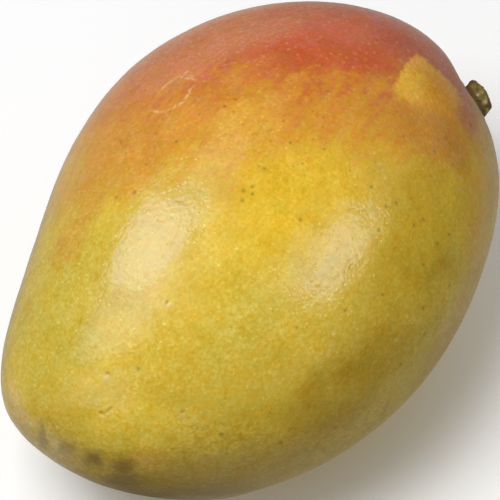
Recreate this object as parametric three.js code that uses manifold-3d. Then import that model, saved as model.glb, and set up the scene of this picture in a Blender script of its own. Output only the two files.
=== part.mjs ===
// A ripe mango lying on one cheek, with the woody stub of its stalk left in the dimple at the stalk end.
import * as THREE from 'three';
import { mergeVertices } from 'three/addons/utils/BufferGeometryUtils.js';
import Module from 'manifold-3d';

// Fruit, in millimetres. +X runs to the stalk end, +Y to the blushed side, +Z up through the two cheeks.
const LENGTH = 122;
const WIDTH = 87.8;
const THICKNESS = 77.1;

// Change of girth along the axis: linear, square and cubic terms of the place, tip (-1) to stalk end (+1).
const WIDTH_TAPER = [0.1, -0.07, -0.06];
const THICKNESS_TAPER = [0.03, -0.02, -0.03];

// Sideways S-bend of the middle line, in millimetres, with the same three terms.
const BEND = [4.5, 0.3, -10.9];

// Broad swellings and hollows of the skin. along: degrees from the stalk pole to the tip. around: degrees
// from the blushed side, up over the top. height: millimetres outwards. spread: degrees over which it fades.
const FORMS = {
  stalkDimple: { along: 14, around: 188, height: -1.2, spread: 9 },
  stalkFold: { along: 16, around: 138, height: -1.1, spread: 7.5 },
  backSlope: { along: 29, around: 139, height: -2.9, spread: 21 },
  frontShoulder: { along: 31, around: 60, height: 2, spread: 30 },
  sinus: { along: 121, around: 12, height: -1.2, spread: 22 },
  beak: { along: 171, around: 17, height: 1.9, spread: 16 },
  bluntTip: { along: 180, around: 0, height: -2.6, spread: 18 },
  lowerBelly: { along: 129, around: 228, height: 0.8, spread: 9 },
};

// Depth of the flat spot that the lower cheek rests on.
const FLAT_DEPTH = 0.6;

// Stalk stub: it stands nearly along +X, leaning a little to the blushed side and upwards.
const STUB_DIRECTION = new THREE.Vector3(1, 0.03, 0.06).normalize();
const STUB_HEIGHT = 4.2;
const STUB_RADIUS = 3.4;
const STUB_NECK_RADIUS = 3.2;
const STUB_NECK_HEIGHT = 2.2;
const STUB_ROOT_DEPTH = 2.5;
const STUB_EDGE_ROUNDING = 0.6;
const STUB_PITH_DEPTH = 0.3;
const STUB_RIBS = 5;
const STUB_RIB_RELIEF = 0.05;
const STUB_END_SLANT = THREE.MathUtils.degToRad(16);
const SOCKET_GAP = 0.3;

// Facets: splits of each edge of the icosahedron, and sides of the round pieces.
const FRUIT_DETAIL = 15;
const ROUND_SIDES = 30;

const fruitSkin = new THREE.MeshStandardMaterial({ color: '#d3a23f', roughness: 0.4, metalness: 0 });
const stubBark = new THREE.MeshStandardMaterial({ color: '#6f5f33', roughness: 0.9, metalness: 0 });

const wasm = await Module();
wasm.setup();

// Unit direction of a place on the fruit, given in degrees.
function directionAt({ along, around }) {
  const polar = THREE.MathUtils.degToRad(along);
  const turn = THREE.MathUtils.degToRad(around);
  return new THREE.Vector3(
    Math.cos(polar),
    Math.sin(polar) * Math.cos(turn),
    Math.sin(polar) * Math.sin(turn),
  );
}

function cubic([linear, square, cube], place) {
  return linear * place + square * place ** 2 + cube * place ** 3;
}

// Carries a direction from the centre to its point on the skin.
function skinPoint(direction) {
  const place = direction.x;
  const point = new THREE.Vector3(
    LENGTH / 2 * place,
    WIDTH / 2 * (1 + cubic(WIDTH_TAPER, place)) * direction.y + cubic(BEND, place),
    THICKNESS / 2 * (1 + cubic(THICKNESS_TAPER, place)) * direction.z,
  );
  const outward = direction.clone().divide(new THREE.Vector3(LENGTH, WIDTH, THICKNESS)).normalize();
  for (const form of Object.values(FORMS)) {
    const away = THREE.MathUtils.radToDeg(direction.angleTo(directionAt(form))) / form.spread;
    point.addScaledVector(outward, form.height * Math.exp(-(away ** 2)));
  }
  return point;
}

// Moves every vertex of a geometry by a rule from its old place to its new one.
function reshape(geometry, rule) {
  const positions = geometry.attributes.position;
  for (let i = 0; i < positions.count; i += 1) {
    const moved = rule(new THREE.Vector3().fromBufferAttribute(positions, i));
    positions.setXYZ(i, moved.x, moved.y, moved.z);
  }
  return geometry;
}

function toSolid(geometry) {
  geometry.deleteAttribute('normal');
  geometry.deleteAttribute('uv');
  const merged = mergeVertices(geometry);
  return new wasm.Manifold(new wasm.Mesh({
    numProp: 3,
    vertProperties: merged.attributes.position.array,
    triVerts: Uint32Array.from(merged.index.array),
  }));
}

function toGeometry(solid) {
  const { vertProperties, triVerts } = solid.getMesh();
  const geometry = new THREE.BufferGeometry();
  geometry.setAttribute('position', new THREE.BufferAttribute(vertProperties, 3));
  geometry.setIndex(new THREE.BufferAttribute(triVerts, 1));
  geometry.computeVertexNormals();
  return geometry;
}

// The stub's own frame: its foot on the skin in the dimple, its +Y along the stalk.
const stubFoot = skinPoint(directionAt(FORMS.stalkDimple));
const stubTurn = new THREE.Quaternion().setFromUnitVectors(new THREE.Vector3(0, 1, 0), STUB_DIRECTION);

function makeFruit() {
  const skin = reshape(new THREE.IcosahedronGeometry(1, FRUIT_DETAIL), skinPoint);
  skin.computeBoundingBox();
  const flatLevel = skin.boundingBox.min.z + FLAT_DEPTH;
  reshape(skin, (point) => point.setZ(Math.max(point.z, flatLevel)));

  const socketRadius = STUB_NECK_RADIUS * (1 + STUB_RIB_RELIEF) + SOCKET_GAP;
  const socketDepth = STUB_ROOT_DEPTH + SOCKET_GAP;
  const socketLength = socketDepth + STUB_HEIGHT;
  const socket = new THREE.CylinderGeometry(socketRadius, socketRadius, socketLength, ROUND_SIDES);
  socket.translate(0, socketLength / 2 - socketDepth, 0);
  socket.applyQuaternion(stubTurn);
  socket.translate(stubFoot.x, stubFoot.y, stubFoot.z);

  const geometry = toGeometry(toSolid(skin).subtract(toSolid(socket)));
  const fruit = new THREE.Mesh(geometry, fruitSkin);
  fruit.name = 'fruit';
  return fruit;
}

// A ribbed, slightly flared peg, snapped off at a slant, with a shallow pith hollow in its end.
function makeStub() {
  const edgeRadius = STUB_RADIUS - STUB_EDGE_ROUNDING;
  const profile = [
    new THREE.Vector2(0, -STUB_ROOT_DEPTH),
    new THREE.Vector2(STUB_NECK_RADIUS, -STUB_ROOT_DEPTH),
    new THREE.Vector2(STUB_NECK_RADIUS, STUB_NECK_HEIGHT),
    new THREE.Vector2(STUB_RADIUS, (STUB_NECK_HEIGHT + STUB_HEIGHT) / 2),
    new THREE.Vector2(STUB_RADIUS, STUB_HEIGHT - STUB_EDGE_ROUNDING),
    new THREE.Vector2(edgeRadius, STUB_HEIGHT),
    new THREE.Vector2(edgeRadius / 2, STUB_HEIGHT),
    new THREE.Vector2(0, STUB_HEIGHT - STUB_PITH_DEPTH),
  ];
  const geometry = reshape(new THREE.LatheGeometry(profile, ROUND_SIDES), (point) => {
    const rib = 1 + STUB_RIB_RELIEF * Math.cos(STUB_RIBS * Math.atan2(point.z, point.x));
    const rise = Math.max(point.y, 0) / STUB_HEIGHT;
    const drop = Math.tan(STUB_END_SLANT) * point.x * rise;
    return new THREE.Vector3(point.x * rib, point.y - drop, point.z * rib);
  });
  const stub = new THREE.Mesh(geometry, stubBark);
  stub.name = 'stem_stub';
  stub.position.copy(stubFoot);
  stub.quaternion.copy(stubTurn);
  return stub;
}

// The whole mango, with the origin under the middle of its box, on the surface it rests on.
const mango = new THREE.Group();
mango.add(makeFruit(), makeStub());
const box = new THREE.Box3().setFromObject(mango, true);
const middle = box.getCenter(new THREE.Vector3());
mango.position.set(-middle.x, -middle.y, -box.min.z);

export default mango;
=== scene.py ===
"""A ripe mango lying on a pale studio floor: blushed, waxy skin and the woody stub of its stalk."""

import math

import bmesh
import bpy
import numpy as np
from mathutils import Matrix, Vector, noise
from mathutils.bvhtree import BVHTree


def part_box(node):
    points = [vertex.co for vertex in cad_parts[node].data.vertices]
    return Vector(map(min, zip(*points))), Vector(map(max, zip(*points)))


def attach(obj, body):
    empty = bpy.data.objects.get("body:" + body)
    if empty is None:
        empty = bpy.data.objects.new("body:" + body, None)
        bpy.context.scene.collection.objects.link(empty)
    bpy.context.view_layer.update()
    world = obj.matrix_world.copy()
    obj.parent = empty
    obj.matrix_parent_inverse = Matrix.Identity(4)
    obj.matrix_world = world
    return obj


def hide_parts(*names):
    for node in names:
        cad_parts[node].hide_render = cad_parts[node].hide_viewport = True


MM = 0.001

# Fruit, in millimetres about its own middle. +X runs to the stalk end, +Y to the blushed side, +Z up.
LENGTH = 122.0
WIDTH = 87.8
THICKNESS = 77.1

# Change of girth and sideways bend along the axis: linear, square and cubic terms.
WIDTH_TAPER = (0.1, -0.07, -0.06)
THICKNESS_TAPER = (0.03, -0.02, -0.03)
BEND = (4.5, 0.3, -10.9)

# Broad swellings and hollows: degrees along from the stalk pole, degrees around from the blushed side,
# height in millimetres, spread in degrees.
FORMS = {
    "stalk_dimple": (14, 188, -1.2, 9),
    "stalk_fold": (16, 138, -1.1, 7.5),
    "back_slope": (29, 139, -2.9, 21),
    "front_shoulder": (31, 60, 2, 30),
    "sinus": (121, 12, -1.2, 22),
    "beak": (171, 17, 1.9, 16),
    "blunt_tip": (180, 0, -2.6, 18),
    "lower_belly": (129, 228, 0.8, 9),
}

# Depth of the flat spot in millimetres, faces along each edge of the cube that is blown up to the mesh, and
# free margin around each square of the mesh's chart.
FLAT_DEPTH = 0.6
FRUIT_SPLITS = 110
CHART_MARGIN = 0.01

# Stalk stub, in millimetres, with the numbers of points around and along it.
STUB_DIRECTION = Vector((1, 0.03, 0.06)).normalized()
STUB_HEIGHT = 4.2
STUB_RADIUS = 3.4
STUB_NECK_RADIUS = 3.2
STUB_NECK_HEIGHT = 2.2
STUB_ROOT_DEPTH = 2.5
STUB_PITH_DEPTH = 0.3
STUB_RIBS = 5
STUB_RIB_RELIEF = 0.04
STUB_END_SLANT = math.radians(20)
STUB_MIDDLE_RADIUS = 0.001
STUB_SPOKES = 192
STUB_RINGS = 150

# Bark of the stub, in millimetres: depth of its cracks, grain, roughness of its snapped end, lip and
# rounding of its rim, swelling of its neck and wear of its end.
BARK_CRACKS = 0.30
BARK_GRAIN = 0.10
BARK_SNAP = 0.30
BARK_SNAP_SIZE = 0.5
BARK_LIP = 0.04
BARK_LIP_WIDTH = 0.5
BARK_ROUNDING = 0.75
BARK_SWELL = 0.24
BARK_WEAR = 0.1
STUB_TOP = STUB_HEIGHT - BARK_WEAR

# Where the snapped end starts: the number of its edge among the points of the stub's profile.
STUB_EDGE_POINT = 6

# Pattern of the bark: stretch of its cracks, size, share and shift of the finer ones, width, share that
# shows on the snapped end, and size of the grain.
CRACK_STRETCH = (3.2, 3.2, 0.9)
FINE_CRACK_SIZE = 0.45
FINE_CRACK_SHARE = 0.5
FINE_CRACK_SHIFT = 7.0
CRACK_WIDTH = 0.16
END_CRACK_SHARE = 0.5
BARK_GRAIN_SIZE = 0.16

# Painted shade on the bark where the stub meets the skin, in millimetres: how far up from the skin it reaches
# and fades, and how uneven it is.
BARK_FOOT_SHADE = (1.3, 0.5)
FOOT_SHADE_RAGGEDNESS = 0.3
FOOT_SHADE_LUMPS = 0.8

# Noises of the bark: size in millimetres, detail and roughness. Relief of its fibres in millimetres.
BARK_LUMPS = (0.8, 4.0, 0.6)
BARK_FIBRES = (0.25, 3.0, 0.6)
BARK_FIBRE_RELIEF = 0.06

# Colours of the bark in screen values: over its noise, of the painted shade at its foot and its end's rim,
# and in its cracks, with their strengths.
BARK_COLOURS = (
    (0.28, (94, 72, 30)), (0.42, (128, 108, 46)), (0.58, (144, 126, 58)), (0.74, (182, 164, 108)),
)
BARK_SHADE_COLOUR = (106, 74, 34)
BARK_SHADE_STRENGTH = 0.85
CRACK_COLOUR = (58, 40, 18)
CRACK_STRENGTH = 0.8

# Where the painted shade along the rim of the end starts and is full, in millimetres below the end.
BARK_RIM_SHADE = (0.8, 0.1)

# Flecks of the bark in the view, and dark ovals of painted shade along the stub's outline: pixel, half sizes
# in pixels, tilt in degrees, colour in screen values.
BARK_FLECKS_AND_EDGE_SHADE = {
    "left_edge_shade": ((468, 83.0), (6.0, 2.0), 52, (104, 72, 32)),
    "right_edge_shade": ((489.5, 103), (2.4, 5.5), 0, (104, 70, 30)),
    "outer_edge_shade": ((484, 89.5), (8.0, 1.3), -54, (112, 84, 36)),
    "notch": ((477, 89.5), (2.0, 2.4), 0, (92, 62, 26)),
    "high_fleck": ((476.5, 94.5), (1.9, 1.9), 0, (236, 218, 172)),
    "low_fleck": ((484, 101.3), (2.6, 2.8), 0, (232, 212, 160)),
    "low_edge_shade": ((485, 106.5), (4.5, 1.8), 10, (100, 68, 30)),
    "low_corner": ((487, 110.5), (2.0, 2.0), 0, (176, 164, 120)),
}
BARK_FLECK_SOFTNESS = 1.0
BARK_FLECK_STRENGTH = 0.85

# Collar of skin around the stub: distance from the stub's axis, width, height and lumps in millimetres.
COLLAR_RADIUS = 4.7
COLLAR_WIDTH = 1.0
COLLAR_HEIGHT = 0.30
COLLAR_UNEVENNESS = 0.6
COLLAR_LUMPS = 2.5

# Dull stain around the stub, in millimetres: reach from its foot, and distances from its axis between which
# it sets in.
STAIN_REACH = 9.0
STAIN_EDGE = (6.2, 4.4)
STAIN_COLOUR = (150, 130, 76)
STAIN_STRENGTH = 0.8

# The view: turn and height in degrees, distance in millimetres, scale at the fruit's middle, and the pixel
# that the fruit's middle falls on.
VIEW_AZIMUTH = math.radians(-54)
VIEW_ELEVATION = math.radians(56)
VIEW_DISTANCE = 800.0
VIEW_PIXELS_PER_MM = 4.926
IMAGE_SIDE = 500
IMAGE_MIDDLE = (IMAGE_SIDE - 1) / 2
MIDDLE_PIXEL = (250.765, 253.177)
SENSOR_WIDTH = 36.0

VIEW_BACK = Vector((
    math.sin(VIEW_AZIMUTH) * math.cos(VIEW_ELEVATION),
    -math.cos(VIEW_AZIMUTH) * math.cos(VIEW_ELEVATION),
    math.sin(VIEW_ELEVATION),
))
VIEW_RIGHT = Vector((math.cos(VIEW_AZIMUTH), math.sin(VIEW_AZIMUTH), 0.0))
VIEW_UP = VIEW_BACK.cross(VIEW_RIGHT)

# Faint waxy bloom of the skin, which pales its rim: strength, spread and colour in screen values.
SKIN_BLOOM = 0.3
SKIN_BLOOM_SPREAD = 0.22
SKIN_BLOOM_COLOUR = (255, 242, 214)

# Values of a noise between which roughness changes, and the roughness at either end.
ROUGHNESS_RANGE = (0.3, 0.7)
SKIN_ROUGHNESS = (0.15, 0.23)
BARK_ROUGHNESS = (0.92, 0.75)

# Places moved about by noise: size of the noise and reach in millimetres, and its detail and roughness.
RAGGED_SHAKE = (1.5, 2.4)
WOBBLE_SHAKE = (3.5, 2.6)
DRIFT_SHAKE = (22.0, 13.0)
BROAD_SHAKE = (16.0, 6.0)
BARK_SHAKE = (0.9, 0.9)
MIRROR_SHAKE = (60.0, 20.0)
SHAKE_NOISE = (2.0, 0.5)

# Noises of the skin: size in millimetres, detail and roughness.
SKIN_NOISES = {
    "streak": (1.5, 3.0, 0.6),
    "marble": (4.5, 3.0, 0.6),
    "grain": (0.7, 2.0, 0.6),
    "fleck": (1.7, 3.0, 0.65),
    "mottle": (6.0, 4.0, 0.6),
    "tone": (3.4, 3.0, 0.6),
    "freckle": (1.1, 3.0, 0.7),
    "pebble": (1.1, 2.0, 0.55),
    "ripple": (3.0, 2.0, 0.5),
}
NOISE_RANGE = (0.25, 0.75)

# Streaks: radius in millimetres of the ring that their noise is wound on, and squeeze along the axis.
STREAK_RADIUS = 38
STREAK_SQUEEZE = 0.09
MARBLE_STRETCH = (0.45, 1.0, 1.0)

# Fine relief of the skin: its size in millimetres, and shares of the streaks, pores and ripples in it.
SKIN_RELIEF = 0.07
RELIEF_SHARES = (0.35, 0.5, 0.9)

# Factors of red, green and blue that go with a low and a high value of each noise.
SPECKLE_FACTORS = {
    "mottle": ((0.25, (0.90, 0.88, 0.58)), (0.75, (1.08, 1.10, 1.40))),
    "fleck": ((0.25, (0.93, 0.88, 0.50)), (0.75, (1.07, 1.12, 1.55))),
    "grain": ((0.25, (0.89, 0.85, 0.52)), (0.75, (1.11, 1.15, 1.52))),
    "tone": ((0.3, (1.04, 0.97, 0.74)), (0.7, (0.96, 1.02, 1.24))),
}
RUDDY_FACTORS = ((0.25, (0.99, 0.80, 0.74)), (0.75, (1.02, 1.20, 1.28)))

# Pores of the skin: spacing and radius in millimetres, share too faint to see, and factors of red, green
# and blue within them.
PORE_SPACING = 1.2
PORE_RADIUS = 0.276
PORE_RARITY = 0.2
PORE_FACTORS = (1.22, 1.36, 1.9)
PORE_STRENGTH = 0.6
DOT_SOFTNESS = 0.4

# Dots on the blush: spacing and radius in millimetres, share too faint to see, strength and colour.
BLUSH_DOTS = {
    "pale_dots": (1.5, 0.36, 0.0, 0.26, (240, 190, 100)),
    "green_dots": (1.9, 0.30, 0.0, 0.5, (150, 120, 50)),
}

# Direction that the blush faces, and how far noises move the blush, in millimetres either way.
SUN = Vector((0.62, 0.51, 0.60)).normalized()
BLUSH_SWINGS = {"streak": 3.8, "fleck": 7.5, "marble": 6.0, "grain": 4.5}

# Colours of the blush in screen values, by distance from the fruit's middle towards the sun in millimetres.
BLUSH_COLOURS = (
    (-44, (212, 176, 62)), (-36, (222, 187, 62)), (-30, (231, 195, 62)), (-22, (223, 190, 60)),
    (-10, (225, 190, 62)), (0, (226, 191, 58)), (6, (227, 191, 54)), (10, (227, 187, 54)),
    (14, (224, 182, 54)), (18, (224, 175, 52)), (22, (223, 163, 50)), (26, (221, 154, 48)),
    (30, (219, 147, 46)), (34, (215, 134, 46)), (36, (212, 124, 46)), (38, (209, 112, 50)),
    (42, (206, 104, 56)), (46, (203, 108, 66)),
)
BLUSH_RANGE = (-50, 50)
BLUSHED_BETWEEN = (8.0, 24.0)

# Gentle waves of the skin: relief and size in millimetres. Height above the floor over which they set in.
WAVES = ((0.16, 17.0), (0.05, 5.0))
WAVE_FADE = 6
WAVE_FADE_START = 0.1

# Colours of the small marks in screen values, and their strength. The dark colour also paints shade in the
# pits, and the pale colour light beside them.
PALE_MARK_COLOUR = (246, 216, 152)
DARK_MARK_COLOUR = (92, 66, 26)
MARK_STRENGTH = 0.8

# Smaller faces under the marks: cuts of each edge, and reach as a multiple of the radius plus millimetres, or
# in millimetres along a line.
MARK_CUTS = 3
PIT_AREA = (2.4, 0.5)
SPOT_AREA = (1.8, 0.4)
LINE_AREA = 1.1

# Small hollows in the skin, as seen in the view: pixel, radius and depth in millimetres.
PITS = {
    "tip_pit": ((101, 413), 0.44, 0.26),
    "pore_scar_left": ((107, 373), 0.38, 0.18),
    "pore_scar_middle": ((167, 302), 0.36, 0.15),
    "pore_scar_low": ((182, 412), 0.36, 0.17),
    "pore_scar_right": ((381, 167), 0.34, 0.08),
}

# Raised rim of the pits, as a share of their depth and a multiple of their radius, and darkness by depth,
# which is partly a dark scar and partly painted shade in the hollow.
PIT_RIM = 0.25
PIT_RIM_REACH = 2.2
PIT_DARKNESS = 2.4
PIT_DARKEST = 0.9

# Nick beside the tip pit: pixels at its ends, half width and depth in millimetres.
NICK = ((106.5, 410.8), (111, 407.3))
NICK_WIDTH = 0.34
NICK_DEPTH = 0.09
NICK_DARKNESS = 0.4

# Healed graze: pixels along its raised pale line, with the line broken between the runs.
GRAZE_RUNS = (
    ((158, 92), (164, 86), (168, 83), (173, 79), (178, 76)),
    ((181, 77), (185, 73), (187, 71)),
    ((186, 78), (192, 79), (195, 80)),
    ((194, 86), (190, 89), (188, 93), (185, 98), (182, 102)),
    ((182, 102), (176, 105), (172, 108), (166, 110), (159, 112), (152, 110)),
)
GRAZE_WIDTH = 0.30
GRAZE_HEIGHT = 0.05
GRAZE_PALENESS = 0.7

# Breaks in the graze: size of its lumps in millimetres, their contrast and cover, and paleness between them.
GRAZE_LUMPS = 0.9
GRAZE_CONTRAST = 2.2
GRAZE_COVER = 0.55
GRAZE_FAINTEST = 0.3

# Thin pale scabs, and pale spots just beside the pits, partly pale skin around the scars and partly painted
# light on the pits' lower walls: pixel, radius in millimetres and paleness.
PALE_SCABS_AND_PIT_LIGHT = (
    ((334, 333), 0.42, 0.55), ((332, 344), 0.34, 0.4), ((330, 350), 0.40, 0.6), ((328, 355), 0.36, 0.4),
    ((379, 163), 0.30, 0.5), ((382, 169), 0.42, 0.45), ((96, 405), 0.22, 0.8), ((191, 77), 0.50, 0.4),
    ((99, 416), 0.30, 0.55), ((103, 417.5), 0.34, 0.6), ((107, 415), 0.30, 0.5), ((189, 93), 0.30, 0.5),
    ((106, 377), 0.60, 0.65), ((168, 305), 0.55, 0.55), ((164, 302), 0.40, 0.3), ((182, 415), 0.60, 0.65),
    ((185, 181), 0.30, 0.5), ((150, 110), 0.34, 0.3),
)
SCAB_HEIGHT = 0.04

# Dark specks: pixel and radius in millimetres.
SPECKS = (
    ((243, 190), 0.40), ((252, 193), 0.36), ((252, 186), 0.34), ((242, 200), 0.40), ((134, 192), 0.42),
    ((224, 106), 0.36), ((235, 99), 0.34), ((176, 141), 0.34), ((264, 168), 0.38), ((290, 142), 0.34),
    ((371, 186), 0.40), ((300, 219), 0.38), ((386, 206), 0.36), ((379, 229), 0.40), ((423, 219), 0.36),
    ((414, 225), 0.34), ((449, 234), 0.38), ((437, 243), 0.36), ((423, 264), 0.38), ((449, 285), 0.36),
    ((423, 308), 0.42), ((396, 202), 0.34), ((221, 434), 0.46), ((138, 368), 0.36), ((434, 151), 0.38),
    ((376, 39), 0.36), ((116, 197), 0.32), ((281, 442), 0.36), ((335, 427), 0.36), ((400, 364), 0.38),
    ((382, 294), 0.34), ((296, 327), 0.30), ((470, 124), 0.60), ((345, 310), 0.32), ((424, 334), 0.34),
)
SPECK_DEPTH = 0.03
SPECK_DARKNESS = 0.7

# Broad tints of the skin, as seen in the view, a few of them painted light or shade as noted: pixel at the
# middle, half sizes in pixels, tilt in degrees, softness of the edge, colour in screen values and strength.
TINTS = {
    "deep_red": ((336, 43), (88, 28), 3, 0.6, (205, 90, 46), 0.8),
    # Pink skin along the rim at the stalk end, partly a painted pale reflection at the rim.
    "rose_brow_and_rim_reflection": ((425, 52), (88, 26), -48, 0.9, (204, 110, 78), 0.85),
    "pink_shoulder": ((192, 44), (104, 28), 38, 0.9, (212, 129, 73), 0.75),
    "peach_top": ((250, 36), (66, 14), 24, 0.9, (204, 121, 66), 0.65),
    "amber_shoulder": ((222, 88), (62, 16), 28, 0.9, (214, 141, 56), 0.5),
    "amber_spot": ((266, 97), (13, 7), 10, 0.9, (222, 162, 58), 0.6),
    "orange_brow": ((335, 122), (26, 11), 10, 0.9, (222, 147, 48), 0.5),
    "amber_brow": ((246, 130), (42, 27), 15, 0.9, (227, 171, 56), 0.7),
    "left_blush": ((112, 166), (66, 26), 44, 0.9, (213, 148, 58), 0.65),
    "olive_cheek": ((66, 300), (90, 40), 72, 0.9, (203, 180, 66), 0.85),
    "golden_heart": ((300, 200), (62, 48), 30, 0.9, (239, 195, 46), 0.75),
    "golden_belly": ((312, 322), (40, 24), 50, 0.9, (237, 201, 66), 0.5),
    "golden_toe": ((124, 427), (52, 29), 4, 0.9, (246, 212, 74), 0.8),
    "golden_rim": ((480, 200), (70, 16), 84, 0.9, (230, 178, 54), 0.6),
    "olive_flank": ((412, 238), (80, 31), 62, 0.9, (211, 172, 30), 0.75),
    "olive_heel": ((345, 384), (84, 30), 46, 0.9, (200, 162, 45), 0.75),
    # Painted shade along the underside, with slightly browner skin there.
    "shaded_underside": ((172, 494), (95, 22), 2, 0.9, (182, 148, 64), 0.75),
    "dusky_toe": ((226, 467), (86, 17), 8, 0.8, (206, 171, 60), 0.65),
    "stem_brown": ((428, 134), (30, 20), -40, 0.9, (210, 141, 54), 0.6),
    "stem_rose": ((467, 116), (22, 12), -62, 0.9, (212, 128, 74), 0.6),
    "red_brow": ((276, 68), (30, 10), 8, 0.9, (202, 102, 44), 0.5),
    "orange_spot": ((284, 108), (18, 11), 0, 0.9, (214, 138, 44), 0.5),
    "crimson_edge": ((374, 68), (28, 8), -4, 0.8, (206, 86, 48), 0.5),
    "orange_cheek": ((70, 240), (28, 13), 60, 0.9, (218, 160, 60), 0.6),
    "orange_toe": ((143, 459), (24, 9), 10, 0.9, (230, 172, 58), 0.5),
    "green_spot_belly": ((240, 330), (40, 24), 50, 0.9, (214, 194, 76), 0.4),
    "green_spot_flank": ((402, 190), (20, 22), 30, 0.9, (204, 168, 38), 0.4),
    "gold_spot_tip": ((138, 388), (24, 10), 20, 0.9, (226, 186, 46), 0.5),
    "orange_flank": ((138, 184), (24, 12), 42, 0.9, (210, 142, 50), 0.5),
    # Painted highlight: paler skin where the right softbox is mirrored.
    "painted_right_highlight": ((345, 276), (36, 13), 58, 0.9, (248, 204, 74), 0.3),
    # Painted shade: darker skin laid under the left highlight, in its shape.
    "shade_under_left_highlight": ((148, 244), (88, 38), 57, 0.9, (206, 172, 50), 0.7),
    # Painted reflection: a pale band along the rim by the tip.
    "painted_toe_rim_reflection": ((44, 440), (38, 13), -40, 0.9, (248, 214, 116), 0.95),
    # Painted reflection: a pale band along the rim beside the stalk end.
    "painted_stalk_rim_reflection": ((488, 144), (32, 8), -78, 0.9, (224, 186, 90), 0.7),
    "gold_brow": ((376, 146), (15, 9), 0, 0.9, (240, 190, 56), 0.5),
    # Painted shade: the stub's shadow on the skin beside it, as an olive strip.
    "stub_shade_on_skin": ((476.5, 106.5), (13, 2.6), -57, 0.8, (166, 140, 72), 0.6),
    # Painted reflection: a pale band along the rim of the tip.
    "painted_tip_rim_reflection": ((16, 408), (30, 9), -75, 0.9, (226, 190, 120), 0.5),
    "crimson_spot": ((390, 34), (22, 9), -24, 0.9, (200, 86, 56), 0.5),
    "rust_flank": ((157, 158), (19, 13), 40, 0.9, (214, 141, 54), 0.4),
    "olive_spot": ((438, 266), (24, 9), 50, 1.2, (184, 151, 26), 0.45),
    "olive_spot_low": ((354, 368), (20, 9), 40, 1.2, (184, 148, 34), 0.4),
    # Painted reflection: a pale tan band along the lower rim on the stalk side.
    "painted_low_rim_reflection": ((457, 320), (85, 12), 63, 0.9, (226, 182, 92), 0.55),
    # Painted sheen: a pale band along the bottom rim.
    "painted_sole_sheen": ((188, 500), (105, 9), 2, 0.9, (240, 212, 150), 0.7),
    "cheek_spot": ((92, 208), (18, 9), 50, 0.9, (212, 150, 56), 0.5),
    "russet_flank": ((454, 148), (28, 12), -72, 0.9, (206, 142, 58), 0.65),
    "smudge_tip": ((42, 434), (4.5, 15), 0, 1.1, (176, 146, 74), 0.6),
    "smudge_low": ((67, 448), (9, 8), 0, 1.3, (178, 146, 72), 0.6),
    "smudge_toe": ((93, 458), (9, 8.5), 0, 1.6, (146, 112, 34), 0.75),
    "smudge_heel": ((123, 466), (11, 10), 0, 1.7, (142, 110, 36), 0.75),
    "smudge_foot": ((122, 480), (17, 7), 0, 1.0, (150, 120, 52), 0.6),
    "faint_bruise": ((120, 142), (12, 2.0), -38, 1.2, (198, 128, 46), 0.5),
    "faint_bruise_end": ((147, 163), (3.5, 2.5), -30, 1.2, (196, 118, 46), 0.5),
}

# Half depth of the tints in millimetres, and half sizes in pixels above which a tint is broad or middling.
TINT_DEPTH = 32.0
BROAD_TINT = 25
MIDDLING_TINT = 12

# Pale patch that a leaf kept from the sun: pixels at its corners, clockwise, each with the softness in
# millimetres of the side that starts there.
LEAF_PATCH = (
    ((416, 52), 0.9), ((450, 80), 1.0), ((461, 101), 3.2), ((455, 113), 5.0),
    ((410, 106), 4.0), ((394, 91), 2.2), ((397, 78), 1.0),
)
LEAF_COLOUR = (243, 180, 52)
LEAF_STRENGTH = 0.9

# Tints within the leaf's patch, given as the broad tints above.
LEAF_TINTS = {
    "sunny_lobe": ((408, 86), (13, 20), 0, 0.9, (255, 201, 66), 0.6),
    "sunny_corner": ((414, 60), (9, 8), 0, 0.9, (255, 178, 78), 0.7),
    "dusky_side": ((442, 92), (22, 12), -56, 0.9, (238, 164, 44), 0.7),
}

# Floor, in metres: its side, and how far below it lies the dimmer one that the skin mirrors.
FLOOR_SIDE = 8.0
MIRROR_FLOOR_DROP = 0.0005

# Looks of the floor: noise, as the skin's, and tones in screen values over it.
FLOOR_LUMPS = (300.0, 2.0, 0.5)
FLOOR_TONES = ((0.3, 246), (0.7, 250))
FLOOR_ROUGHNESS = 0.9

# Faint glow of the floor: its strength, and the distances in millimetres between which it sets in.
FLOOR_GLOW = 0.13
FLOOR_GLOW_REACH = (15, 60)

# Tones of the mirrored floor in screen values, near and far, and the distances along Y where they change.
MIRROR_TONES = (92, 172)
MIRROR_TONE_REACH = (20, 70)

# Ovals on the floor: half depth in millimetres and softness of the edge.
FLOOR_OVAL_DEPTH = 100.0
FLOOR_OVAL_SOFTNESS = 0.9

# Paler patches of the mirrored floor: middle and half sizes in millimetres, and tone in screen values.
MIRRORED_PATCHES = {
    "past_the_tip": ((-88, 62), (55, 50), 174),
    "behind": ((170, 85), (110, 95), 166),
    "along_the_far_side": ((20, -60), (115, 40), 160),
}

# Warm light that the fruit throws on the mirrored floor: middle and half sizes in millimetres, and strength.
MIRRORED_GLOWS = {
    "under_the_belly": ((22, -24), (58, 20), 0.25),
    "by_the_tip": ((-52, 28), (14, 26), 0.2),
    "close_behind": ((66, 98), (70, 36), 0.22),
}
MIRRORED_GLOW_COLOUR = (1.0, 0.75, 0.42, 1.0)

# Even light from all around: its strength.
WORLD_LIGHT = 0.25

# Lights: direction from the fruit, distance and sides in metres, power in watts, and whether they are seen
# only in the gloss or light only the colour. The key is overhead, the bounce is weak light thrown back at the
# far side as from a pale wall, and the backdrop is dim and behind the fruit.
LIGHTS = {
    "key": ((-0.30, 0.17, 0.94), 1.0, (0.55, 0.55), 8.3, False),
    "bounce": ((0.55, -0.65, -0.52), 0.8, (0.5, 0.5), 0.95, False),
    "backdrop": ((0.76, 0.64, 0.07), 1.0, (1.0, 0.4), 0.5, True),
}

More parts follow.
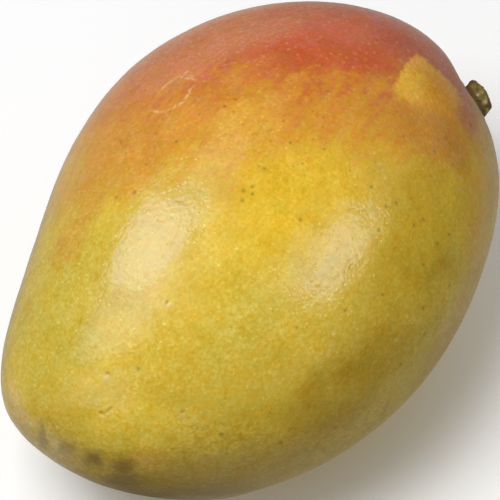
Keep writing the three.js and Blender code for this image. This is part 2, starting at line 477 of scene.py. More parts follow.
# Softboxes: pixel where the skin mirrors the middle, pixel that the long side runs towards, sides in metres
# and power in watts. Their distance in metres and colour.
SOFTBOXES = {
    "left_softbox": ((149, 248), (178, 200), (0.32, 0.44), 2.95),
    "left_panel": ((119, 322), (131, 296), (0.52, 0.46), 2.35),
    "left_low_panel": ((101, 390), (107, 368), (0.42, 0.40), 0.75),
    "left_upper_panel": ((210, 178), (218, 156), (0.32, 0.26), 0.3),
    "right_softbox": ((336, 257), (356, 216), (0.42, 0.25), 1.6),
    "right_panel": ((298, 268), (310, 246), (0.34, 0.24), 0.5),
}
SOFTBOX_DISTANCE = 0.8
SOFTBOX_COLOUR = (0.58, 0.74, 1.0)


def srgb(red, green, blue):
    """A colour given in screen values, as the linear colour that shaders use."""
    def linear(value):
        value /= 255
        return value / 12.92 if value <= 0.04045 else ((value + 0.055) / 1.055) ** 2.4
    return (linear(red), linear(green), linear(blue), 1.0)


# Shape of the fruit
def cubic(terms, place):
    return terms[0] * place + terms[1] * place ** 2 + terms[2] * place ** 3


def direction_at(along, around):
    polar = math.radians(along)
    turn = math.radians(around)
    return np.array((
        math.cos(polar),
        math.sin(polar) * math.cos(turn),
        math.sin(polar) * math.sin(turn),
    ))


def skin_points(directions):
    """Points of the skin in millimetres, in the given directions from the middle."""
    place = directions[:, 0]
    points = np.stack((
        LENGTH / 2 * place,
        WIDTH / 2 * (1 + cubic(WIDTH_TAPER, place)) * directions[:, 1] + cubic(BEND, place),
        THICKNESS / 2 * (1 + cubic(THICKNESS_TAPER, place)) * directions[:, 2],
    ), axis=1)
    outward = directions / (LENGTH, WIDTH, THICKNESS)
    outward /= np.linalg.norm(outward, axis=1, keepdims=True)
    for along, around, height, spread in FORMS.values():
        facing = np.clip(directions @ direction_at(along, around), -1, 1)
        away = np.degrees(np.arccos(facing)) / spread
        points += outward * (height * np.exp(-away ** 2))[:, None]
    return points


def cube_side(side, splits):
    """Points on one side of a cube, and that side's square in the chart."""
    steps = np.tan(np.linspace(-math.pi / 4, math.pi / 4, splits + 1))
    first, second = np.meshgrid(steps, steps, indexing="ij")
    share = np.linspace(CHART_MARGIN, 1 - CHART_MARGIN, splits + 1)
    share_first, share_second = np.meshgrid(share, share, indexing="ij")
    axis = side % 3
    sign = 1 if side < 3 else -1
    grid = np.zeros(first.shape + (3,))
    grid[..., axis] = sign
    grid[..., (axis + 1) % 3] = first * sign
    grid[..., (axis + 2) % 3] = second
    square = np.stack(((axis + share_first) / 3, (side // 3 + share_second) / 2), axis=-1)
    return grid.reshape(-1, 3), square.reshape(-1, 2)


def cube_ball(splits):
    """Unit directions, four-sided faces and a chart of six squares, of a cube blown up to a ball."""
    row = np.arange(splits)
    corner = (row[:, None] * (splits + 1) + row[None, :]).ravel()
    quads = np.stack((corner, corner + splits + 1, corner + splits + 2, corner + 1), axis=1)
    sides = [cube_side(side, splits) for side in range(6)]
    directions = np.concatenate([grid for grid, _ in sides])
    directions /= np.linalg.norm(directions, axis=1, keepdims=True)
    faces = np.concatenate([quads + side * (splits + 1) ** 2 for side in range(6)])
    chart = np.concatenate([square for _, square in sides])[faces.ravel()]
    _, kept, merged = np.unique(directions.round(7), axis=0, return_index=True, return_inverse=True)
    return directions[kept], merged.ravel()[faces], chart


# Meshes
def new_object(name, mesh, material):
    mesh.materials.append(material)
    mesh.polygons.foreach_set("use_smooth", np.ones(len(mesh.polygons), bool))
    obj = bpy.data.objects.new(name, mesh)
    bpy.context.scene.collection.objects.link(obj)
    return obj


def mesh_from(name, points, faces, chart):
    """A mesh, with a chart that its looks can be kept on."""
    mesh = bpy.data.meshes.new(name)
    mesh.from_pydata(points, [], faces.tolist())
    layer = mesh.uv_layers.new(name="OFBake")
    layer.data.foreach_set("uv", np.ascontiguousarray(chart, np.float32).ravel())
    mesh.update()
    return mesh


def keep_values(mesh, name, values):
    """Keeps a value at each point of a mesh, for its material to read."""
    attribute = mesh.attributes.new(name, "FLOAT", "POINT")
    attribute.data.foreach_set("value", values.astype(np.float32).ravel())


def smooth_noise(points, size):
    """Smooth noise at each point, with lumps of about that size."""
    return np.array([noise.noise(Vector(p)) for p in points / size])


# Node materials
class Graph:
    """Builds a node material step by step, on places in millimetres."""

    def __init__(self, name):
        self.material = bpy.data.materials.new(name)
        self.material.use_nodes = True
        self.tree = self.material.node_tree
        self.tree.nodes.clear()
        output = self.tree.nodes.new("ShaderNodeOutputMaterial")
        self.shader = self.tree.nodes.new("ShaderNodeBsdfPrincipled")
        self.tree.links.new(self.shader.outputs[0], output.inputs["Surface"])
        coordinates = self.tree.nodes.new("ShaderNodeTexCoord")
        self.place = self.vector("MULTIPLY", coordinates.outputs["Object"], (1 / MM,) * 3)

    def put(self, socket, value):
        if isinstance(value, bpy.types.NodeSocket):
            self.tree.links.new(value, socket)
        else:
            socket.default_value = value

    def shade(self, name, value):
        self.put(self.shader.inputs[name], value)

    def add(self, kind, inputs, output=0, **settings):
        node = self.tree.nodes.new(kind)
        for name, value in settings.items():
            setattr(node, name, value)
        for key, value in inputs.items():
            self.put(node.inputs[key], value)
        return node.outputs[output]

    def attribute(self, name):
        return self.add("ShaderNodeAttribute", {}, "Fac", attribute_name=name)

    def parts(self, place):
        node = self.tree.nodes.new("ShaderNodeSeparateXYZ")
        self.put(node.inputs[0], place)
        return node.outputs

    def vector(self, operation, first, second=(0, 0, 0)):
        output = "Value" if operation in ("DOT_PRODUCT", "LENGTH") else "Vector"
        return self.add("ShaderNodeVectorMath", {0: first, 1: second}, output, operation=operation)

    def math(self, operation, first, second):
        return self.add("ShaderNodeMath", {0: first, 1: second}, operation=operation)

    def noise(self, place, size, detail, roughness, output=0):
        inputs = {"Vector": place, "Scale": 1 / size, "Detail": detail, "Roughness": roughness}
        return self.add("ShaderNodeTexNoise", inputs, output)

    def cells(self, place, size, output):
        return self.add("ShaderNodeTexVoronoi", {"Vector": place, "Scale": 1 / size}, output)

    def step(self, value, low, high, start=0.0, end=1.0):
        """Eases from start to end while the value goes from low to high."""
        inputs = {"Value": value, 1: low, 2: high, 3: start, 4: end}
        return self.add("ShaderNodeMapRange", inputs, interpolation_type="SMOOTHSTEP")

    def spread(self, value, low, high, start=0.0, end=1.0):
        """Goes evenly from start to end while the value goes from low to high."""
        return self.add("ShaderNodeMapRange", {"Value": value, 1: low, 2: high, 3: start, 4: end})

    def mix(self, share, first, second, blend="MIX"):
        inputs = {0: share, 6: first, 7: second}
        return self.add("ShaderNodeMix", inputs, 2, data_type="RGBA", blend_type=blend)

    def lay(self, colour, over, share, strength):
        """Lays one colour over another."""
        return self.mix(self.math("MULTIPLY", share, strength), colour, over)

    def ramp(self, value, stops, low=0.0, high=1.0):
        """Colours at places between low and high."""
        node = self.tree.nodes.new("ShaderNodeValToRGB")
        self.put(node.inputs[0], self.spread(value, low, high))
        elements = node.color_ramp.elements
        while len(elements) < len(stops):
            elements.new(0.5)
        for element, (place, colour) in zip(elements, stops):
            element.position = (place - low) / (high - low)
            element.color = colour
        return node.outputs[0]

    def bump(self, height, distance):
        """Fine relief of a distance in millimetres."""
        inputs = {"Strength": 1.0, "Distance": distance * MM, "Height": height}
        self.shade("Normal", self.add("ShaderNodeBump", inputs))


# The frame, and the places on the fruit that are worked out from it
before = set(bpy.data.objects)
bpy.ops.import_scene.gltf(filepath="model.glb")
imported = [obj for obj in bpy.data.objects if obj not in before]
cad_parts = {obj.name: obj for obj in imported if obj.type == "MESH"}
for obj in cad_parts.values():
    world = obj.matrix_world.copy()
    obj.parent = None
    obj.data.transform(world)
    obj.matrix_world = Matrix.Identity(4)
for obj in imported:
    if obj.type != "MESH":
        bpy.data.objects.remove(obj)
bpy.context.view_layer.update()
bpy.context.scene.view_settings.view_transform = "Standard"

directions, faces, chart = cube_ball(FRUIT_SPLITS)
points = skin_points(directions)
flat_level = points[:, 2].min() + FLAT_DEPTH
points[:, 2] = np.maximum(points[:, 2], flat_level)
fruit_low, fruit_high = (np.array(corner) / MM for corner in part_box("fruit"))
middle = np.array((
    fruit_low[0] - points[:, 0].min(),
    (fruit_low[1] + fruit_high[1] - points[:, 1].min() - points[:, 1].max()) / 2,
    fruit_low[2] - flat_level,
))
points += middle
bare_skin = BVHTree.FromPolygons(points.tolist(), faces.tolist())

stub_foot = skin_points(direction_at(*FORMS["stalk_dimple"][:2])[None, :])[0] + middle
stub_turn = Vector((0, 1, 0)).rotation_difference(STUB_DIRECTION).to_matrix()

# The camera
aim = (
    Vector(middle)
    + VIEW_RIGHT * ((IMAGE_MIDDLE - MIDDLE_PIXEL[0]) / VIEW_PIXELS_PER_MM)
    + VIEW_UP * ((MIDDLE_PIXEL[1] - IMAGE_MIDDLE) / VIEW_PIXELS_PER_MM)
)
eye = aim + VIEW_BACK * VIEW_DISTANCE
view_turn = Matrix((VIEW_RIGHT, VIEW_UP, VIEW_BACK)).transposed()
focal_pixels = VIEW_PIXELS_PER_MM * VIEW_DISTANCE
camera_data = bpy.data.cameras.new("camera")
camera_data.sensor_width = SENSOR_WIDTH
camera_data.lens = SENSOR_WIDTH * focal_pixels / IMAGE_SIDE
camera = bpy.data.objects.new("camera", camera_data)
camera.matrix_world = Matrix.Translation(eye * MM) @ view_turn.to_4x4()
bpy.context.scene.collection.objects.link(camera)
bpy.context.scene.camera = camera


# Places seen in the view
def view_ray(pixel):
    across = pixel[0] - IMAGE_MIDDLE
    down = pixel[1] - IMAGE_MIDDLE
    return (VIEW_RIGHT * across - VIEW_UP * down - VIEW_BACK * focal_pixels).normalized()


def on_skin(pixel):
    """The point of the skin seen at a pixel of the view, in millimetres."""
    return bare_skin.ray_cast(eye, view_ray(pixel))[0]


def beside(pixel):
    """The same, or a point level with the fruit's middle where the pixel lies off the fruit."""
    return on_skin(pixel) or eye + view_ray(pixel) * VIEW_DISTANCE


def at_stub(pixel):
    """The point of a pixel's ray that is level with the foot of the stub."""
    ray = view_ray(pixel)
    return eye + ray * ((Vector(stub_foot) - eye).dot(VIEW_BACK) / ray.dot(VIEW_BACK))


def mirrored(pixel):
    """The direction that the skin mirrors towards the camera at a pixel."""
    ray = view_ray(pixel)
    normal = bare_skin.ray_cast(eye, ray)[1]
    return (ray - normal * (2 * ray.dot(normal))).normalized()


# Shares and shades that the materials have in common
def oval_share(graph, place, location, rotation, sizes, softness):
    """How far a place lies inside an oval, fading towards its edge."""
    inputs = {"Vector": place, "Location": location, "Rotation": rotation, "Scale": sizes}
    offset = graph.add("ShaderNodeMapping", inputs, vector_type="TEXTURE")
    away = graph.vector("LENGTH", offset)
    return graph.step(away, 1 + softness / 2, 1 - softness / 2)


def view_oval(graph, place, location, half_sizes, tilt, depth, softness):
    """The same for an oval that faces the view, with its sizes in pixels."""
    turn = math.radians(tilt)
    along = VIEW_RIGHT * math.cos(turn) + VIEW_UP * math.sin(turn)
    across = VIEW_UP * math.cos(turn) - VIEW_RIGHT * math.sin(turn)
    rotation = Matrix((along, across, VIEW_BACK)).transposed().to_euler()
    sizes = [size / VIEW_PIXELS_PER_MM for size in half_sizes] + [depth]
    return oval_share(graph, place, location, rotation, sizes, softness)


def floor_oval(graph, place, spot, half_sizes):
    """The same for an oval on the floor."""
    sizes = (*half_sizes, FLOOR_OVAL_DEPTH)
    return oval_share(graph, place, (*spot, 0.0), (0.0, 0.0, 0.0), sizes, FLOOR_OVAL_SOFTNESS)


def patch_share(graph, place, sides):
    """The same for a patch with straight sides in the view."""
    from_start = graph.vector("SUBTRACT", beside(sides[0][0]), place)
    behind = graph.vector("DOT_PRODUCT", from_start, tuple(VIEW_BACK))
    inside = graph.step(behind, TINT_DEPTH, TINT_DEPTH / 2)
    for (start, softness), (end, _) in zip(sides, sides[1:] + sides[:1]):
        side = (VIEW_RIGHT * (end[0] - start[0]) - VIEW_UP * (end[1] - start[1])).normalized()
        inward = side.cross(VIEW_BACK)
        away = graph.vector("DOT_PRODUCT", graph.vector("SUBTRACT", place, beside(start)), inward)
        inside = graph.math("MINIMUM", inside, graph.step(away, -softness / 2, softness / 2))
    return inside


def tinted(graph, colour, ground, tint):
    """The colour with one of the view's tints laid over it."""
    pixel, half_sizes, tilt, softness, shade, strength = tint
    share = view_oval(graph, ground, beside(pixel), half_sizes, tilt, TINT_DEPTH, softness)
    return graph.lay(colour, srgb(*shade), share, strength)


def shaken(graph, place, size, reach):
    """Places moved about by smooth noise, up to about half of reach either way."""
    swirl = graph.noise(place, size, *SHAKE_NOISE, output=1)
    offset = graph.vector("MULTIPLY", graph.vector("SUBTRACT", swirl, (0.5,) * 3), (reach,) * 3)
    return graph.vector("ADD", place, offset)


def dots(graph, spacing, radius, rarity):
    """How far a place lies in one of the skin's small dots, some of them fainter than others."""
    away = graph.math("MULTIPLY", graph.cells(graph.place, spacing, "Distance"), spacing)
    luck = graph.tree.nodes.new("ShaderNodeSeparateColor")
    graph.put(luck.inputs[0], graph.cells(graph.place, spacing, "Color"))
    round_share = graph.step(away, radius * (1 + DOT_SOFTNESS), radius * (1 - DOT_SOFTNESS))
    return graph.math("MULTIPLY", round_share, graph.step(luck.outputs[0], rarity, 1.0))


def speckled(graph, colour, value, factors):
    """The colour, changed by factors that go with low and high values of a noise."""
    (low, low_factors), (high, high_factors) = factors
    stops = ((low, (*low_factors, 1.0)), (0.5, (1.0, 1.0, 1.0, 1.0)), (high, (*high_factors, 1.0)))
    return graph.mix(1.0, colour, graph.ramp(value, stops), "MULTIPLY")


# Skin
def streak_place(graph):
    """Places where noise makes streaks that run along the fruit."""
    along, *around = graph.parts(graph.vector("SUBTRACT", graph.place, tuple(middle)))
    ring = graph.add("ShaderNodeCombineXYZ", {1: around[0], 2: around[1]})
    ring = graph.vector("MULTIPLY", graph.vector("NORMALIZE", ring), (STREAK_RADIUS,) * 3)
    squeezed = graph.add("ShaderNodeCombineXYZ", {0: graph.math("MULTIPLY", along, STREAK_SQUEEZE)})
    return graph.vector("ADD", ring, squeezed)


def skin_noises(graph, ragged, wobble):
    places = {
        "streak": streak_place(graph),
        "marble": graph.vector("MULTIPLY", wobble, MARBLE_STRETCH),
        "mottle": wobble,
        "tone": wobble,
        "freckle": ragged,
    }
    return {
        name: graph.noise(places.get(name, graph.place), *settings) for name, settings in SKIN_NOISES.items()
    }


def blush_level(graph, drift, noises):
    """How far a place lies towards the sun, in millimetres, made uneven by noise."""
    level = graph.vector("DOT_PRODUCT", graph.vector("SUBTRACT", drift, tuple(middle)), tuple(SUN))
    for name, swing in BLUSH_SWINGS.items():
        level = graph.math("ADD", level, graph.spread(noises[name], *NOISE_RANGE, -swing, swing))
    return level


def ground_colour(graph, blush, ragged, wobble):
    """The blush, with the tints and the leaf's patch laid over it."""
    stops = [(level, srgb(*shade)) for level, shade in BLUSH_COLOURS]
    colour = graph.ramp(blush, stops, *BLUSH_RANGE)
    broad_ground = shaken(graph, wobble, *BROAD_SHAKE)
    for tint in TINTS.values():
        narrow = min(tint[1])
        ground = broad_ground if narrow > BROAD_TINT else wobble if narrow > MIDDLING_TINT else ragged
        colour = tinted(graph, colour, ground, tint)
    leaf_colour = srgb(*LEAF_COLOUR)
    for tint in LEAF_TINTS.values():
        leaf_colour = tinted(graph, leaf_colour, ragged, tint)
    return graph.lay(colour, leaf_colour, patch_share(graph, ragged, LEAF_PATCH), LEAF_STRENGTH)


def freckled(graph, colour, blush, freckle):
    """The colour with ruddy freckles and small dots where the skin is blushed."""
    blushed = graph.step(blush, *BLUSHED_BETWEEN)
    colour = graph.mix(blushed, colour, speckled(graph, colour, freckle, RUDDY_FACTORS))
    for spacing, radius, rarity, strength, shade in BLUSH_DOTS.values():
        dot = graph.math("MULTIPLY", dots(graph, spacing, radius, rarity), blushed)
        colour = graph.lay(colour, srgb(*shade), dot, strength)
    return colour


def stain_share(graph, ragged):
    """How far a place lies in the dull stain around the stub."""
    from_foot = graph.vector("SUBTRACT", ragged, tuple(stub_foot))
    off_axis = graph.vector("LENGTH", graph.vector("CROSS_PRODUCT", from_foot, tuple(STUB_DIRECTION)))
    close = graph.math("LESS_THAN", graph.vector("LENGTH", from_foot), STAIN_REACH)
    return graph.math("MULTIPLY", graph.step(off_axis, *STAIN_EDGE), close)


def skin_relief(graph, noises, pore):
    height = noises["pebble"]
    for value, share in zip((noises["streak"], pore, noises["ripple"]), RELIEF_SHARES):
        height = graph.math("ADD", height, graph.math("MULTIPLY", value, share))
    graph.bump(height, SKIN_RELIEF)


def skin_material():
    """Waxy skin, blushed on its sunny side."""
    graph = Graph("mango_skin")
    ragged = shaken(graph, graph.place, *RAGGED_SHAKE)
    wobble = shaken(graph, ragged, *WOBBLE_SHAKE)
    noises = skin_noises(graph, ragged, wobble)
    blush = blush_level(graph, shaken(graph, wobble, *DRIFT_SHAKE), noises)
    colour = ground_colour(graph, blush, ragged, wobble)
    for name, factors in SPECKLE_FACTORS.items():
        colour = speckled(graph, colour, noises[name], factors)
    colour = freckled(graph, colour, blush, noises["freckle"])
    colour = graph.lay(colour, srgb(*STAIN_COLOUR), stain_share(graph, ragged), STAIN_STRENGTH)
    pore = dots(graph, PORE_SPACING, PORE_RADIUS, PORE_RARITY)
    pore_colour = graph.mix(1.0, colour, (*PORE_FACTORS, 1.0), "MULTIPLY")
    colour = graph.lay(colour, pore_colour, pore, PORE_STRENGTH)
    # Pale marks: the graze, the scabs and painted light beside the pits. Dark marks: the specks, the nick,
    # and painted shade in the pits.
    colour = graph.lay(colour, srgb(*PALE_MARK_COLOUR), graph.attribute("pale"), MARK_STRENGTH)
    colour = graph.lay(colour, srgb(*DARK_MARK_COLOUR), graph.attribute("dark"), MARK_STRENGTH)
    graph.shade("Base Color", colour)
    graph.shade("Roughness", graph.spread(noises["mottle"], *ROUGHNESS_RANGE, *SKIN_ROUGHNESS))
    graph.shade("Sheen Weight", SKIN_BLOOM)
    graph.shade("Sheen Roughness", SKIN_BLOOM_SPREAD)
    graph.shade("Sheen Tint", srgb(*SKIN_BLOOM_COLOUR))
    skin_relief(graph, noises, pore)
    return graph.material


def refine(mesh, areas):
    """Splits the faces in the given areas, so that small marks have a shape of their own."""
    centres = np.array([centre for centre, _ in areas])
    reaches = np.array([reach for _, reach in areas])
    bm = bmesh.new()
    bm.from_mesh(mesh)
    edges = {}
    for face in bm.faces:
        away = np.linalg.norm(centres - np.array(face.calc_center_median()) / MM, axis=1)
        if (away < reaches).any():
            edges.update(dict.fromkeys(face.edges))
    bmesh.ops.subdivide_edges(bm, edges=list(edges), cuts=MARK_CUTS, use_grid_fill=True)
    bm.to_mesh(mesh)
    bm.free()


def mark_areas():
    """Middle and reach, in millimetres, of each area of skin that needs smaller faces."""
    areas = [(Vector(stub_foot), COLLAR_RADIUS + 2 * COLLAR_WIDTH)]
    for pixel, radius, _ in PITS.values():
        areas.append((on_skin(pixel), radius * PIT_AREA[0] + PIT_AREA[1]))
    for pixel, radius, *_ in PALE_SCABS_AND_PIT_LIGHT + SPECKS:
        areas.append((on_skin(pixel), radius * SPOT_AREA[0] + SPOT_AREA[1]))
    for run in GRAZE_RUNS + (NICK,):
        for start, end in zip(run[:-1], run[1:]):
            between = ((start[0] + end[0]) / 2, (start[1] + end[1]) / 2)
            areas += [(on_skin(pixel), LINE_AREA) for pixel in (start, between, end)]
    return areas


def near(places, centre, radius):
    """A soft round share about a centre: one there, fading out at about the radius."""
    away = np.linalg.norm(places - np.array(centre), axis=1)
    return np.exp(-(away / radius) ** 2)


def line_share(places, pixels, width):
    """The same along a line on the skin, given by pixels of the view."""
    line = [np.array(on_skin(pixel)) for pixel in pixels]
    away = np.full(len(places), np.inf)
    for start, end in zip(line[:-1], line[1:]):
        run = end - start
        part = np.clip((places - start) @ run / (run @ run), 0, 1)
        away = np.minimum(away, np.linalg.norm(places - start - part[:, None] * run, axis=1))
    return np.exp(-(away / width) ** 2)


def wave_height(places):
    """Gentle waves of the skin, which fade out towards the flat spot."""
    height = sum(relief * smooth_noise(places, size) for relief, size in WAVES)
    return height * np.clip(places[:, 2] / WAVE_FADE - WAVE_FADE_START, 0, 1)


def collar_height(places):
    """The low uneven collar around the stub."""
    from_foot = places - stub_foot
    off_axis = np.linalg.norm(np.cross(from_foot, np.array(STUB_DIRECTION)), axis=1)
    close = np.linalg.norm(from_foot, axis=1) < 3 * COLLAR_RADIUS
    uneven = 1 + COLLAR_UNEVENNESS * smooth_noise(places, COLLAR_LUMPS)
    return close * uneven * COLLAR_HEIGHT * np.exp(-((off_axis - COLLAR_RADIUS) / COLLAR_WIDTH) ** 2)


def press_pits(places, height, dark):
    """Presses the pits and the nick into the skin, and darkens them. The pits' darkness is partly a dark scar
    and partly painted shade in the hollow.
    """
    for pixel, radius, depth in PITS.values():
        share = near(places, on_skin(pixel), radius)
        rim = near(places, on_skin(pixel), radius * PIT_RIM_REACH)
        height += depth * (PIT_RIM * rim - (1 + PIT_RIM) * share)
        np.maximum(dark, min(PIT_DARKEST, depth * PIT_DARKNESS) * share, out=dark)
    share = line_share(places, NICK, NICK_WIDTH)
    height -= NICK_DEPTH * share
    np.maximum(dark, NICK_DARKNESS * share, out=dark)


def raise_graze(places, height, pale):
    """Raises the healed graze, a pale line that is lower and fainter in places."""
    cover = np.clip(smooth_noise(places, GRAZE_LUMPS) * GRAZE_CONTRAST + GRAZE_COVER, 0, 1)
    for run in GRAZE_RUNS:
        share = line_share(places, run, GRAZE_WIDTH)
        height += GRAZE_HEIGHT * share * cover
        whole = GRAZE_FAINTEST + (1 - GRAZE_FAINTEST) * cover
        np.maximum(pale, GRAZE_PALENESS * share * whole, out=pale)


def add_spots(places, height, pale, dark):
    """Raises the pale scabs and the pale spots beside the pits, partly painted light, and sinks the dark
    specks.
    """
    for pixel, radius, paleness in PALE_SCABS_AND_PIT_LIGHT:
        share = near(places, on_skin(pixel), radius)
        height += SCAB_HEIGHT * share
        np.maximum(pale, paleness * share, out=pale)
    for pixel, radius in SPECKS:
        share = near(places, on_skin(pixel), radius)
        height -= SPECK_DEPTH * share
        np.maximum(dark, SPECK_DARKNESS * share, out=dark)


def add_marks(mesh):
    """Shapes the waves and marks of the skin, and keeps where the pale and dark marks lie."""
    places = np.empty(len(mesh.vertices) * 3, np.float32)
    outward = np.empty(len(mesh.vertices) * 3, np.float32)
    mesh.vertices.foreach_get("co", places)
    mesh.vertex_normals.foreach_get("vector", outward)
    places = places.reshape(-1, 3).astype(float) / MM
    height = wave_height(places) + collar_height(places)
    pale = np.zeros(len(places))
    dark = np.zeros(len(places))
    press_pits(places, height, dark)
    raise_graze(places, height, pale)
    add_spots(places, height, pale, dark)
    places += outward.reshape(-1, 3) * height[:, None]
    mesh.vertices.foreach_set("co", (places * MM).astype(np.float32).ravel())
    keep_values(mesh, "pale", pale)
    keep_values(mesh, "dark", dark)
    mesh.update()


def add_fruit():
    mesh = mesh_from("fruit_skin", points * MM, faces, chart)
    refine(mesh, mark_areas())
    add_marks(mesh)
    fruit_skin = new_object("fruit_skin", mesh, skin_material())
    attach(fruit_skin, "root")
    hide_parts("fruit")


# Stalk stub
def bark_material():
    """Dry bark with pale flecks and dark cracks, and painted shade at its foot, at the rim of its end and
    along its outline.
    """
    graph = Graph("stalk_bark")
    lumps = graph.noise(graph.place, *BARK_LUMPS)
    colour = graph.ramp(lumps, [(value, srgb(*shade)) for value, shade in BARK_COLOURS])
    ragged = shaken(graph, graph.place, *BARK_SHAKE)
    from_foot = graph.vector("SUBTRACT", ragged, tuple(stub_foot))
    level = graph.vector("DOT_PRODUCT", from_foot, tuple(STUB_DIRECTION))
    rim = graph.step(level, STUB_HEIGHT - BARK_RIM_SHADE[0], STUB_HEIGHT - BARK_RIM_SHADE[1])
    # Painted shade: darker where the stub meets the skin and along the rim of its snapped end.
    edges = graph.math("MAXIMUM", graph.attribute("foot_shade"), rim)
    colour = graph.lay(colour, srgb(*BARK_SHADE_COLOUR), edges, BARK_SHADE_STRENGTH)
    # Pale flecks, and painted shade along the stub's outline.
    for pixel, half_sizes, tilt, shade in BARK_FLECKS_AND_EDGE_SHADE.values():
        share = view_oval(graph, ragged, at_stub(pixel), half_sizes, tilt, STUB_RADIUS, BARK_FLECK_SOFTNESS)
        colour = graph.lay(colour, srgb(*shade), share, BARK_FLECK_STRENGTH)
    colour = graph.lay(colour, srgb(*CRACK_COLOUR), graph.attribute("crack"), CRACK_STRENGTH)
    graph.shade("Base Color", colour)
    graph.shade("Roughness", graph.spread(lumps, *ROUGHNESS_RANGE, *BARK_ROUGHNESS))
    graph.bump(graph.noise(graph.place, *BARK_FIBRES), BARK_FIBRE_RELIEF)
    return graph.material


def stub_profile():
    """Radius and height along the stub, from the middle of its root to the middle of its snapped end."""
    neck = STUB_NECK_RADIUS + BARK_SWELL
    edge = STUB_RADIUS - BARK_ROUNDING
    return np.array((
        (STUB_MIDDLE_RADIUS, -STUB_ROOT_DEPTH),
        (STUB_NECK_RADIUS, -STUB_ROOT_DEPTH),
        (neck, 0),
        (neck, STUB_NECK_HEIGHT),
        (STUB_RADIUS, STUB_TOP - BARK_ROUNDING),
        ((STUB_RADIUS * 2 + edge) / 3, STUB_TOP - BARK_ROUNDING / 3),
        (edge, STUB_TOP),
        (edge / 2, STUB_TOP),
        (STUB_MIDDLE_RADIUS, STUB_TOP - STUB_PITH_DEPTH),
    ))


def bark_pattern(turn, height):
    """How deep the bark is cracked, and how its grain swells."""
    barrel = np.stack((np.cos(turn), np.sin(turn), height / STUB_RADIUS), axis=-1).reshape(-1, 3)
    lengthwise = barrel * CRACK_STRETCH
    lines = np.abs(smooth_noise(lengthwise, 1.0))
    lines += FINE_CRACK_SHARE * np.abs(smooth_noise(lengthwise + FINE_CRACK_SHIFT, FINE_CRACK_SIZE))
    cracks = np.clip(1 - lines.reshape(turn.shape) / CRACK_WIDTH, 0, 1)
    return cracks, smooth_noise(barrel, BARK_GRAIN_SIZE).reshape(turn.shape)


def stub_points():
    """Points of the stub in millimetres, ring after ring, and how cracked each of them is."""
    profile = stub_profile()
    run = np.concatenate(((0,), np.cumsum(np.linalg.norm(np.diff(profile, axis=0), axis=1))))
    share = np.linspace(0, run[-1], STUB_RINGS)
    spokes = np.linspace(0, 2 * math.pi, STUB_SPOKES, endpoint=False)
    height, turn = np.meshgrid(np.interp(share, run, profile[:, 1]), spokes, indexing="ij")
    radius = np.repeat(np.interp(share, run, profile[:, 0])[:, None], STUB_SPOKES, axis=1)
    end = np.repeat((share > run[STUB_EDGE_POINT])[:, None], STUB_SPOKES, axis=1)

    cracks, grain = bark_pattern(turn, height)
    lip = np.exp(-((height - STUB_TOP + BARK_ROUNDING) / BARK_LIP_WIDTH) ** 2)
    out = BARK_GRAIN * grain - BARK_CRACKS * cracks + BARK_LIP * lip * (1 + grain)
    radius = radius * (1 + STUB_RIB_RELIEF * np.cos(STUB_RIBS * turn))
    radius = radius + np.where(end, 0.0, out) * np.clip(radius / STUB_NECK_RADIUS, 0, 1)

    x = radius * np.cos(turn)
    z = radius * np.sin(turn)
    disc = np.stack((x, z, 0 * x), axis=-1).reshape(-1, 3)
    fibres = smooth_noise(disc, BARK_SNAP_SIZE).reshape(turn.shape)
    raised = height + BARK_SNAP * fibres * np.clip((height - STUB_NECK_HEIGHT) / STUB_NECK_HEIGHT, 0, 1)
    y = raised - math.tan(STUB_END_SLANT) * x * np.maximum(height, 0) / STUB_HEIGHT
    local = np.stack((x, y, z), axis=-1).reshape(-1, 3)
    return local @ np.array(stub_turn).T + stub_foot, np.where(end, END_CRACK_SHARE * cracks, cracks)


def tube_faces(around, along):
    """Faces of a tube, given by the numbers of points around and along it, and its chart."""
    row = np.arange(along - 1)[:, None] * around
    this = row + np.arange(around)
    after = row + (np.arange(around) + 1) % around
    quads = np.stack((this, this + around, after + around, after), axis=-1).reshape(-1, 4)
    step = np.arange(around) / around
    level = (np.arange(along - 1) / (along - 1))[:, None]
    chart = np.stack([
        np.stack((step + 0 * level + across / around, level + 0 * step + up / (along - 1)), axis=-1)
        for across, up in ((0, 0), (0, 1), (1, 1), (1, 0))
    ], axis=2).reshape(-1, 2)
    return quads, chart


def stub_mesh():
    """The stub turned about its axis, with cracked bark, a lip around its rim and a rough snapped end."""
    placed, cracks = stub_points()
    mesh = mesh_from("stalk_stub", placed * MM, *tube_faces(STUB_SPOKES, STUB_RINGS))
    above = np.array([bare_skin.find_nearest(point)[3] for point in placed.tolist()])
    ragged_above = above * (1 + FOOT_SHADE_RAGGEDNESS * smooth_noise(placed, FOOT_SHADE_LUMPS))
    keep_values(mesh, "crack", cracks)
    # Painted shade on the bark close to the skin.
    keep_values(mesh, "foot_shade", np.clip(1 + (BARK_FOOT_SHADE[0] - ragged_above) / BARK_FOOT_SHADE[1], 0, 1))
    return mesh


def add_stub():
    stalk_stub = new_object("stalk_stub", stub_mesh(), bark_material())
    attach(stalk_stub, "root")
    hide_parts("stem_stub")


# Stage
def floor_material():
    """Plain pale floor, with a faint glow that sets in away from the fruit."""
    graph = Graph("studio_floor")
    stops = [(value, srgb(tone, tone, tone)) for value, tone in FLOOR_TONES]
    graph.shade("Base Color", graph.ramp(graph.noise(graph.place, *FLOOR_LUMPS), stops))
    graph.shade("Roughness", FLOOR_ROUGHNESS)
    graph.shade("Emission Color", (1.0, 1.0, 1.0, 1.0))
    away = graph.vector("LENGTH", graph.place)
    graph.shade("Emission Strength", graph.step(away, *FLOOR_GLOW_REACH, 0.0, FLOOR_GLOW))
    return graph.material


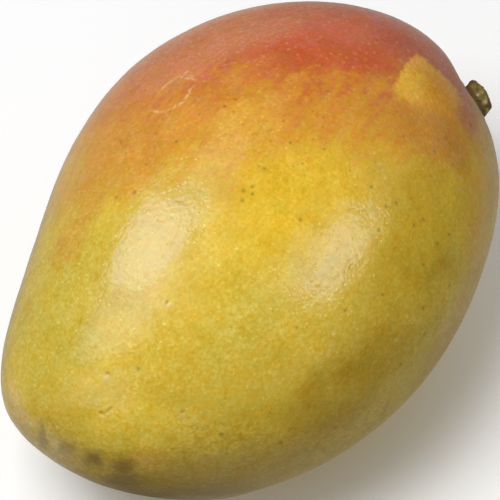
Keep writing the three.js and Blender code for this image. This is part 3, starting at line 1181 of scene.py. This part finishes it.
def mirror_floor_material():
    """Dark close to the fruit, with paler patches and the warm light that the fruit throws."""
    graph = Graph("mirror_floor")
    place = shaken(graph, graph.place, *MIRROR_SHAKE)
    close_tone, far_tone = (srgb(tone, tone, tone) for tone in MIRROR_TONES)
    colour = graph.mix(graph.step(graph.parts(place)[1], *MIRROR_TONE_REACH), close_tone, far_tone)
    for spot, half_sizes, tone in MIRRORED_PATCHES.values():
        colour = graph.mix(floor_oval(graph, place, spot, half_sizes), colour, srgb(tone, tone, tone))
    glow = 0.0
    for spot, half_sizes, strength in MIRRORED_GLOWS.values():
        share = floor_oval(graph, place, spot, half_sizes)
        glow = graph.math("ADD", graph.math("MULTIPLY", share, strength), glow)
    graph.shade("Base Color", colour)
    graph.shade("Roughness", FLOOR_ROUGHNESS)
    graph.shade("Emission Color", MIRRORED_GLOW_COLOUR)
    graph.shade("Emission Strength", glow)
    return graph.material


def add_floor(name, level, material):
    half = FLOOR_SIDE / 2
    corners = [(-half, -half, level), (half, -half, level), (half, half, level), (-half, half, level)]
    square = np.array([(0, 0), (1, 0), (1, 1), (0, 1)])
    plane = new_object(name, mesh_from(name, corners, np.array([[0, 1, 2, 3]]), square), material)
    plane.visible_diffuse = False
    plane.visible_shadow = False
    return plane


def add_floors():
    """The floor that the camera sees, and the dimmer one that the skin mirrors."""
    floor = add_floor("floor", 0.0, floor_material())
    floor.visible_glossy = False
    mirror_floor = add_floor("mirror_floor", -MIRROR_FLOOR_DROP, mirror_floor_material())
    mirror_floor.visible_camera = False


def add_light(name, facing, long_side, distance, sides, power, in_gloss):
    """A rectangle of light that faces the fruit."""
    data = bpy.data.lights.new(name, "AREA")
    data.shape = "RECTANGLE"
    data.size, data.size_y = sides
    data.energy = power
    light = bpy.data.objects.new(name, data)
    across = facing.cross(long_side).normalized()
    turn = Matrix((across.cross(facing), across, facing)).transposed()
    light.matrix_world = Matrix.Translation(Vector(middle) * MM + facing * distance) @ turn.to_4x4()
    light.visible_camera = False
    light.visible_glossy = in_gloss
    light.visible_diffuse = not in_gloss
    bpy.context.scene.collection.objects.link(light)
    return light


def add_lights():
    """The lights, and the softboxes that the skin mirrors."""
    for name, (direction, distance, sides, power, in_gloss) in LIGHTS.items():
        facing = Vector(direction).normalized()
        long_side = facing.cross(Vector((0, 0, 1))) if in_gloss else VIEW_RIGHT
        add_light(name, facing, long_side, distance, sides, power, in_gloss)
    for name, (pixel, toward, sides, power) in SOFTBOXES.items():
        facing = mirrored(pixel)
        softbox = add_light(name, facing, mirrored(toward) - facing, SOFTBOX_DISTANCE, sides, power, True)
        softbox.data.color = SOFTBOX_COLOUR


def add_world():
    """Even white light from all around."""
    world = bpy.data.worlds.new("studio")
    world.use_nodes = True
    background = world.node_tree.nodes["Background"]
    background.inputs["Color"].default_value = (1.0, 1.0, 1.0, 1.0)
    background.inputs["Strength"].default_value = WORLD_LIGHT
    bpy.context.scene.world = world


add_fruit()
add_stub()
add_floors()
add_lights()
add_world()
